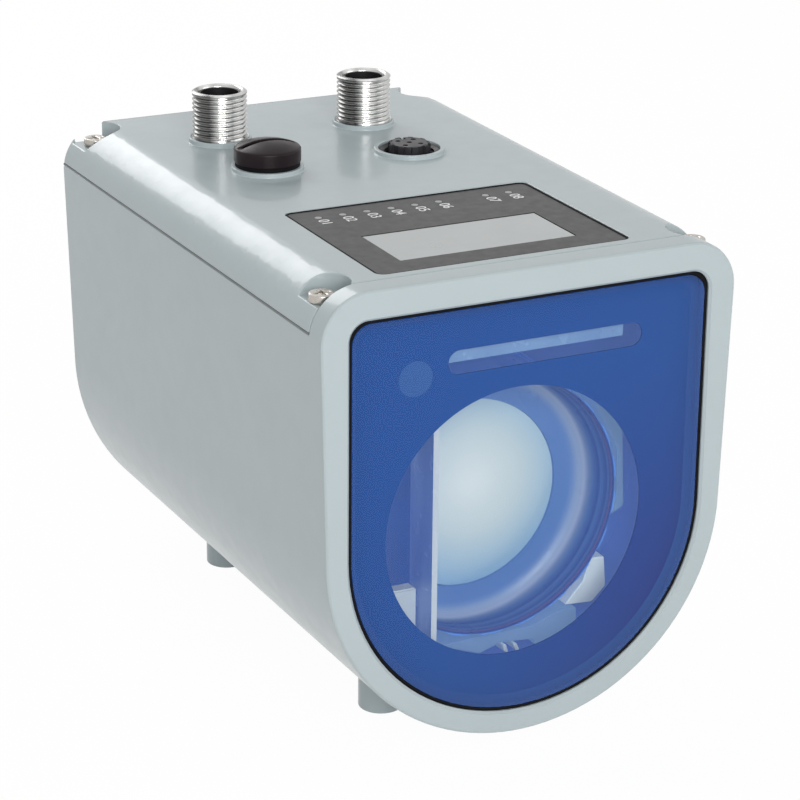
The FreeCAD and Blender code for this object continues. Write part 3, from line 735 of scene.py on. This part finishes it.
WINDOW_CORNER, LEAST_CORNER = 4.0 * MM, 1.0 * MM
GLASS_BEVEL, GLASS_DROP, GLASS_BEHIND_PRINT = 1.7 * MM, 0.35 * MM, 0.1 * MM
SEAL_WIDTH, SEAL_LIP, SEAL_BITE = 0.78 * MM, 0.25 * MM, 0.1 * MM
SPOT_RADIUS, SPOT_INSET = 3.65 * MM, 0.05 * MM


def u_ring(half, top, corner, centre, y, arc_steps=96, corner_steps=12):
    """The U outline of the window: round below, straight sides, rounded top corners."""
    points = []
    for i in range(arc_steps + 1):
        angle = math.pi + math.pi * i / arc_steps
        points.append((half * math.cos(angle), y, centre + half * math.sin(angle)))
    for side, start in ((1, 0), (-1, 90)):
        for i in range(corner_steps + 1):
            angle = math.radians(start + 90 * i / corner_steps)
            points.append((side * (half - corner) + corner * math.cos(angle), y,
                           top - corner + corner * math.sin(angle)))
    return points


def u_rings(node, places, follow=0.0):
    """Rings of a node's U outline, from pairs of inset and y.

    The corners get smaller by a share of the inset."""
    low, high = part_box(node)
    half = high.x
    return [u_ring(half - inset, high.z - inset, max(WINDOW_CORNER - follow * inset, LEAST_CORNER),
                   low.z + half, y) for inset, y in places]


def window():
    """The glass with its polished bevel; the print lies just inside its back face."""
    low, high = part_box("front_window")
    rings = u_rings("front_window", ((0, high.y + GLASS_BEHIND_PRINT), (0, low.y + GLASS_DROP),
                                     (GLASS_BEVEL, low.y)), follow=1.0)
    mesh = shade(loft(rings), sharp_degrees=15)
    glass = piece("window_bevelled", mesh, "window_glass", replaces=["front_window"])
    # The glass takes no light from what lies behind it
    glass.visible_shadow = False
    glass.visible_diffuse = False
    return glass


def seal():
    """The black seal round the glass, with a rounded lip."""
    low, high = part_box("window_seal")
    lip = low.y + SEAL_LIP
    rings = u_rings("window_seal", (
        (-SEAL_BITE, high.y), (-SEAL_BITE, lip), (SEAL_LIP, low.y),
        (SEAL_WIDTH - SEAL_LIP, low.y), (SEAL_WIDTH, lip), (SEAL_WIDTH, high.y)))
    mesh = shade(loft(rings, closed=True), sharp_degrees=50)
    piece("window_seal_lip", mesh, "seal_rubber", replaces=["window_seal"])


def spot_print():
    """The small round window's paler print, level with the mask."""
    x, _, z = centre_of("laser_lens")
    front, back = (corner.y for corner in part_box("window_mask"))
    outline = [(x + a, z + b) for a, b, _ in circle(0, 0, 0, SPOT_RADIUS)]
    mesh = prism(outline, front + SPOT_INSET, back)
    piece("window_spot_print", mesh, "mask_print", "spot_ink")


def paint_bevel_reflection(width=2.0 * MM, lift=0.03 * MM):
    """A paler band on the print under the glass's bevel: a painted reflection of bright
    surroundings.
    """
    mask_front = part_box("window_mask")[0].y
    front, back = mask_front - lift, mask_front + lift
    section = ((0, back), (0, front), (width, front), (width, back))
    rings = u_rings("window_mask", section, follow=0.5)
    piece("window_bevel_reflection", loft(rings, closed=True), "mask_print", "bevel_reflection_paint")


# Optics behind the window. Lengths in tables are in mm, and depths are from the front face.

LINER_SETBACK, LINER_GAP, LINER_INSIDE = 3.2 * MM, 0.02 * MM, 0.3 * MM
# Depth and radius along the tube's section, from its front edge to the lens and back
BARREL_SECTION = (
    (13.0, 27.4), (13.0, 26.8), (13.3, 26.6), (14.6, 26.5), (14.9, 26.3), (16.2, 26.2),
    (16.5, 26.0), (18.2, 26.0), (19.6, 25.7), (20.3, 25.2), (20.8, 24.6), (21.2, 23.8),
    (21.4, 22.8), (21.4, 19.6), (21.6, 19.5), (33.0, 19.5), (33.0, 28.0), (29.0, 28.0),
    (29.0, 27.4))
# The lens seat lies a little to the lower left of the tube's mouth. The points inside the
# radius move towards it between the two depths.
SEAT_SHIFT, SEAT_START, SEAT_END, SEAT_RADIUS = (-1.6, -0.15), 15.0, 19.6, 27.0
BARREL_GAP, SCALLOP_DEPTH = 0.05 * MM, 0.35
# Lugs of the optics carrier between the tube and the housing, in x and z
LUGS = {
    "upper_lug": ((21.9, 65.4), (29.0, 58.8), (29.8, 41.0), (27.2, 39.6), (28.2, 45.0),
                  (28.0, 54.0)),
    "side_lug": ((22.6, 30.7), (25.7, 30.6), (26.2, 24.1), (23.2, 21.1), (17.0, 21.6),
                 (21.0, 26.0)),
    "lower_lug": ((15.5, 20.6), (19.6, 20.6), (19.7, 17.0), (12.0, 13.7), (10.6, 13.9),
                  (10.1, 15.5), (2.5, 16.1), (-2.1, 14.6), (-11.3, 18.0), (-4.4, 18.2),
                  (9.5, 18.4)),
    "left_key": ((3.0, 15.6), (3.8, 15.5), (4.4, 13.6), (3.6, 13.7)),
    "right_key": ((5.4, 15.4), (6.2, 15.3), (7.0, 13.4), (6.2, 13.5)),
}
BLUE_LUGS = ("upper_lug", "lower_lug")
LUG_FRONT, LUG_BEVEL = FRONT + 17.0 * MM, 0.2 * MM
BAFFLE_FRONT, BAFFLE_THICK = FRONT + 15.0 * MM, 1.5 * MM
# How far the baffle goes down behind the jaw, and how far its upper edge slopes down
BAFFLE_OVERLAP, BAFFLE_SLOPE = 1 * MM, 24 * MM
JAW_FRONT, JAW_BELOW_HOLDER = FRONT + 12.2 * MM, 2 * MM
ARM_WIDTH, ARM_OVERLAP, ARM_SETBACK = 4 * MM, 1 * MM, 1 * MM
HOLDER_BEVEL = 0.3 * MM


def liner():
    """The blue finish of the inside, from the window's ledge to the chassis wall."""
    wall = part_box("optics_chassis")[0].y
    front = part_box("window_mask")[1].y + LINER_SETBACK
    rings = u_rings("optics_chassis", ((LINER_GAP, front), (LINER_GAP, wall),
                                       (LINER_INSIDE, wall), (LINER_INSIDE, front)))
    mesh = shade(loft(rings, closed=True), sharp_degrees=50)
    piece("optics_liner", mesh, "optics_metal", "liner_blue")


def seat_share(depth, radius):
    """How far a point of the tube's section moves towards the lens seat, from 0 to 1."""
    if radius >= SEAT_RADIUS:
        return 0
    return min(1, max(0, (depth - SEAT_START) / (SEAT_END - SEAT_START)))


def barrel_row(depth, radius, dip, left, steps, scallops):
    """An arc of the tube, open on the left, whose edge may dip in scallops."""
    share = seat_share(depth, radius)
    x = OPTICS_X + share * SEAT_SHIFT[0] * MM
    z = OPTICS_Z + share * SEAT_SHIFT[1] * MM
    sweep = math.acos((left - x) / (radius * MM))
    row = []
    for i in range(steps + 1):
        angle = sweep * (2 * i / steps - 1)
        r = (radius - dip * max(0, math.cos(scallops * angle)) ** 0.5) * MM
        row.append((x + r * math.cos(angle), FRONT + depth * MM, z + r * math.sin(angle)))
    return row


def barrel(steps=160, scallops=22):
    """The tube round the lens, open on the left for the glass plate, with scallops in front."""
    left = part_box("glass_plate")[1].x + BARREL_GAP
    bm = bmesh.new()
    grid = []
    for index, (depth, radius) in enumerate(BARREL_SECTION):
        dip = SCALLOP_DEPTH if index == 0 else 0
        row = barrel_row(depth, radius, dip, left, steps, scallops)
        grid.append([bm.verts.new(point) for point in row])
    for a, b in zip(grid, grid[1:] + grid[:1]):
        for i in range(steps):
            bm.faces.new((a[i], a[i + 1], b[i + 1], b[i]))
    for end in (0, -1):
        bm.faces.new([row[end] for row in grid])
    bmesh.ops.recalc_face_normals(bm, faces=bm.faces)
    mesh = shade(finish_mesh(bm, "barrel"), sharp_degrees=40)
    return piece("lens_barrel_turned", mesh, "optics_metal", "barrel_coat",
                 replaces=["lens_barrel", "lens_retainer"])


def lugs():
    """Cast lugs that stand out from the chassis wall towards the window."""
    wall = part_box("optics_chassis")[0].y
    for name, outline in LUGS.items():
        points = [(x * MM, z * MM) for x, z in outline]
        mesh = break_edges(prism(points, LUG_FRONT, wall), wall, LUG_BEVEL)
        look = "lug_blue" if name in BLUE_LUGS else "optics_metal"
        piece("optics_" + name, mesh, "optics_metal", look)


def holder():
    """The jaw beside the glass plate and its arm to the chassis."""
    low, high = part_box("plate_holder")
    plate_low, plate_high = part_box("glass_plate")
    back = plate_high.y
    jaw = rectangle(low.x, plate_low.z, plate_low.x, high.z - JAW_BELOW_HOLDER)
    mesh = break_edges(prism(jaw, JAW_FRONT, back), back, HOLDER_BEVEL)
    piece("plate_holder_jaw", mesh, "optics_metal", "holder_metal", replaces=["plate_holder"])
    arm = rectangle(low.x, low.z, low.x + ARM_WIDTH, plate_low.z + ARM_OVERLAP)
    mesh = break_edges(prism(arm, JAW_FRONT + ARM_SETBACK, high.y), high.y, HOLDER_BEVEL)
    piece("plate_holder_arm", mesh, "optics_metal", "holder_metal")


def baffle():
    """The blue wall to the left of the glass plate, from the plate to the housing."""
    plate_low, plate_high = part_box("glass_plate")
    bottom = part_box("plate_holder")[1].z - JAW_BELOW_HOLDER - BAFFLE_OVERLAP
    outer, inner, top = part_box("optics_chassis")[0].x, plate_low.x, plate_high.z
    outline = [(outer, bottom), (inner, bottom), (inner, top), (inner - BAFFLE_SLOPE / 2, top),
               (outer, top - BAFFLE_SLOPE)]
    mesh = prism(outline, BAFFLE_FRONT, BAFFLE_FRONT + BAFFLE_THICK)
    piece("optics_baffle", mesh, "optics_metal", "optics_blue")


def light_guide(lower=0.9 * MM, longer=1.4 * MM):
    """The bar behind the slot, a little taller and longer than its solid."""
    low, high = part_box("slot_light_guide")
    outline = rectangle(low.x, low.z - lower, high.x + longer, high.z)
    piece("slot_light_guide_bar", prism(outline, low.y, high.y), SLOTS["slot_light_guide"],
          "guide_plastic", replaces=["slot_light_guide"])


# Cover

SCREW_HEAD_RADIUS, SCREW_HEAD_THICK = 2.6 * MM, 1.8 * MM
POCKET_RADIUS, POCKET_WALL, POCKET_GAP = 5.5 * MM, 1.0 * MM, 0.02 * MM
# How far the wall of a pocket goes below and above its floor, and how far its floor lies lower
POCKET_BELOW, POCKET_ABOVE, POCKET_DROP = 0.4 * MM, 1.0 * MM, 0.01 * MM


def pocket_corners(near_degrees=-10, far_degrees=50, steps=16):
    """The wall and floor of each screw pocket where it meets the hollow of the cover."""
    low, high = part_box("cover_screws")
    seat = high.z - SCREW_HEAD_THICK
    turn = far_degrees - near_degrees
    arc = [math.radians(near_degrees + turn * i / steps) for i in range(steps + 1)]
    inner, outer = POCKET_RADIUS + POCKET_GAP, POCKET_RADIUS + POCKET_WALL
    outside = [(outer * math.cos(angle), outer * math.sin(angle)) for angle in arc]
    inside = [(inner * math.cos(angle), inner * math.sin(angle)) for angle in reversed(arc)]
    corner = (outside[-1][0], outside[0][1])
    shapes = (("wall", outside + inside, seat - POCKET_BELOW, seat + POCKET_ABOVE),
              ("floor", outside + [corner], seat - POCKET_WALL, seat - POCKET_DROP))
    sides = (("left", low.x + SCREW_HEAD_RADIUS), ("right", high.x - SCREW_HEAD_RADIUS))
    ends = (("front", low.y + SCREW_HEAD_RADIUS), ("rear", high.y - SCREW_HEAD_RADIUS))
    for (side, x), (end, y) in itertools.product(sides, ends):
        across, along = math.copysign(1, -x), math.copysign(1, -y)
        for name, outline, bottom, top in shapes:
            points = [(x + across * a, y + along * b) for a, b in outline]
            mesh = loft([[(a, b, z) for a, b in points] for z in (bottom, top)])
            piece("%s_%s_pocket_%s" % (side, end, name), shade(mesh), "housing_paint")


# Display

PANEL_CORNER, PANEL_SEAL_RISE = 1.6 * MM, 0.12 * MM
# How far the seal's foot and crest reach past the panel's edge, inwards and outwards
PANEL_SEAL_FOOT, PANEL_SEAL_CREST = (-0.25 * MM, 0.27 * MM), (-0.2 * MM, 0.22 * MM)
LAMP_RADIUS = 0.75 * MM
# Places of the lamps along their row, in equal steps with one left out
LAMP_STEPS = (0, 1, 2, 3, 4, 5, 7, 8)
NUMERAL_SIZE, NUMERAL_GAP, NUMERAL_RISE = 3.3 * MM, 0.9 * MM, 0.015 * MM


def rounded_rectangle(low, high, grow, corner, z, steps=8):
    """A ring round a box seen from above, grown on all sides, with round corners."""
    left, right, near, far = low.x + corner, high.x - corner, low.y + corner, high.y - corner
    radius = corner + grow
    points = []
    for start, x, y in ((0, right, far), (90, left, far), (180, left, near), (270, right, near)):
        for i in range(steps + 1):
            angle = math.radians(start + 90 * i / steps)
            points.append((x + radius * math.cos(angle), y + radius * math.sin(angle), z))
    return points


def panel_rim():
    """The black seal in the gap round the display panel."""
    low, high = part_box("display_panel")
    foot, crest = high.z, high.z + PANEL_SEAL_RISE
    section = ((PANEL_SEAL_FOOT[0], foot), (PANEL_SEAL_CREST[0], crest),
               (PANEL_SEAL_CREST[1], crest), (PANEL_SEAL_FOOT[1], foot))
    rings = [rounded_rectangle(low, high, grow, PANEL_CORNER, z) for grow, z in section]
    mesh = shade(loft(rings, closed=True), sharp_degrees=40)
    piece("display_panel_seal", mesh, "seal_rubber")


def numeral_mesh(number):
    text = bpy.data.curves.new("numeral", "FONT")
    text.body = "%02d" % number
    text.size = NUMERAL_SIZE
    text.align_y = "CENTER"
    text.extrude = NUMERAL_RISE
    source = bpy.data.objects.new("numeral", text)
    mesh = bpy.data.meshes.new_from_object(source)
    bpy.data.objects.remove(source)
    return mesh


def numerals():
    """Plain numbers in front of the indicator lamps, read from the right."""
    low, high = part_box("indicator_lamps")
    first, last = low.x + LAMP_RADIUS, high.x - LAMP_RADIUS
    y, z = low.y - NUMERAL_GAP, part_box("display_panel")[1].z + NUMERAL_RISE
    for number, step in enumerate(LAMP_STEPS, 1):
        mesh = numeral_mesh(number)
        x = first + (last - first) * step / LAMP_STEPS[-1]
        mesh.transform(Matrix.Translation((x, y, z)) @ Matrix.Rotation(math.radians(-90), 4, "Z"))
        piece("panel_numeral_%d" % number, mesh, "lamp_plastic", "mark_ink")


# Stage and light

WHITE = (1, 1, 1, 1)
# What the world and the floor show by themselves, and how strongly the world lights the part
SEEN_LIGHT, WORLD_LIGHT = 1.0, 0.42
PAPER, PAPER_ROUGHNESS, PAPER_GLOW = (0.9, 0.9, 0.9, 1), 0.9, 0.97
FLOOR_SIZE, FLOOR_DROP = 4.0, 0.1 * MM
# Place, size and power of each lamp; all of them point at the middle of the part
LAMPS = {
    "key": ((-0.25, -0.95, 0.45), 0.5, 7.2),
    "fill": ((0.8, -0.45, 0.35), 0.6, 1.0),
    "overhead": ((0.0, 0.25, 0.9), 0.6, 0.3),
    "rim": ((-0.07, 0.67, 0.48), 0.4, 2.2),
}
LAMP_TARGET = Vector((0, 0, 50 * MM))


def path_mix(tree, seen, lit):
    """Shows one shader to camera, glossy and transmission rays and another to the rest."""
    nodes, links = tree.nodes, tree.links
    rays = nodes.new("ShaderNodeLightPath")
    total = rays.outputs["Is Camera Ray"]
    for name in ("Is Glossy Ray", "Is Transmission Ray"):
        most = nodes.new("ShaderNodeMath")
        most.operation = "MAXIMUM"
        links.new(total, most.inputs[0])
        links.new(rays.outputs[name], most.inputs[1])
        total = most.outputs[0]
    mix = nodes.new("ShaderNodeMixShader")
    links.new(total, mix.inputs["Fac"])
    links.new(lit, mix.inputs[1])
    links.new(seen, mix.inputs[2])
    return mix.outputs[0]


def add_world():
    world = bpy.data.worlds.new("studio")
    bpy.context.scene.world = world
    world.use_nodes = True
    tree = world.node_tree
    seen, lit = tree.nodes["Background"], tree.nodes.new("ShaderNodeBackground")
    for background, strength in ((seen, SEEN_LIGHT), (lit, WORLD_LIGHT)):
        background.inputs["Color"].default_value = WHITE
        background.inputs["Strength"].default_value = strength
    mixed = path_mix(tree, seen.outputs[0], lit.outputs[0])
    tree.links.new(mixed, tree.nodes["World Output"].inputs["Surface"])


def floor_paper():
    """Pale paper that glows for the camera, so that only a trace of the shadow shows."""
    surface = bpy.data.materials.new("floor_paper")
    surface.use_nodes = True
    tree = surface.node_tree
    paper = tree.nodes["Principled BSDF"]
    paper.inputs["Base Color"].default_value = PAPER
    paper.inputs["Roughness"].default_value = PAPER_ROUGHNESS
    paper.inputs["Specular IOR Level"].default_value = 0.0
    glow = tree.nodes.new("ShaderNodeEmission")
    glow.inputs["Strength"].default_value = SEEN_LIGHT
    shadow = tree.nodes.new("ShaderNodeMixShader")
    shadow.inputs["Fac"].default_value = PAPER_GLOW
    tree.links.new(paper.outputs[0], shadow.inputs[1])
    tree.links.new(glow.outputs[0], shadow.inputs[2])
    mixed = path_mix(tree, shadow.outputs[0], paper.outputs[0])
    tree.links.new(mixed, tree.nodes["Material Output"].inputs["Surface"])
    return surface


def add_floor():
    bm = bmesh.new()
    bmesh.ops.create_grid(bm, x_segments=1, y_segments=1, size=FLOOR_SIZE)
    mesh = finish_mesh(bm, "floor")
    mesh.materials.append(floor_paper())
    floor = bpy.data.objects.new("floor", mesh)
    floor.location.z = -FLOOR_DROP
    bpy.context.collection.objects.link(floor)


def add_lights():
    for name, (place, size, power) in LAMPS.items():
        data = bpy.data.lights.new(name, "AREA")
        data.size = size
        data.energy = power
        lamp = bpy.data.objects.new(name, data)
        lamp.location = place
        lamp.visible_transmission = False
        aim = LAMP_TARGET - Vector(place)
        lamp.rotation_euler = aim.to_track_quat("-Z", "Y").to_euler()
        bpy.context.collection.objects.link(lamp)


add_camera()
add_world()
add_floor()
add_lights()
dress_nodes()
for side in ("left", "right"):
    plug(side)
    socket(side)
core_ribs("right")
window()
seal()
spot_print()
paint_bevel_reflection()
liner()
barrel()
lugs()
holder()
baffle()
light_guide()
pocket_corners()
panel_rim()
numerals()
bpy.context.scene.view_settings.view_transform = "Standard"
